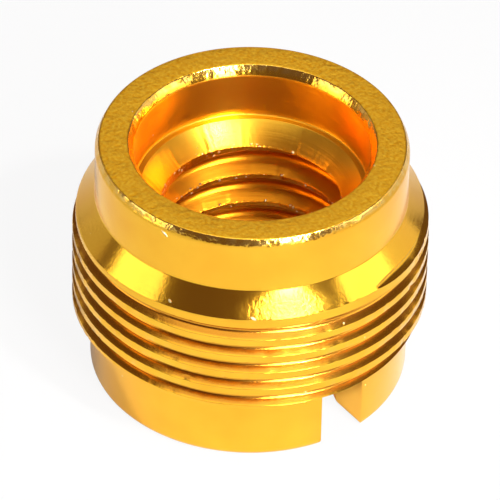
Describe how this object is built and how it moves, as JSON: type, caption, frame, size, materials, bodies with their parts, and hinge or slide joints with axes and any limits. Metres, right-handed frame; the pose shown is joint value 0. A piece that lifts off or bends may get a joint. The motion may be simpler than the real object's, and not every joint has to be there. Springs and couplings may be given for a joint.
{
  "type": "microphone stand thread adapter",
  "caption": "Turned sleeve with a 5/8\"-27 thread outside and a 3/8\"-16 thread inside, a counterbored collar and a slotted skirt.",
  "frame": {"origin": "centre of the skirt's bottom face, where the axis meets it", "axes": "+Z along the thread axis from the slotted skirt up to the counterbored collar; the driver slot runs along Y"},
  "size_m": [0.0158, 0.0158, 0.0121],
  "materials": {
    "gold_anodised": "bright gold anodised, satin on the flat end face"
  },
  "bodies": {
    "root": {"adapter_body": "gold_anodised"}
  },
  "joints": []
}
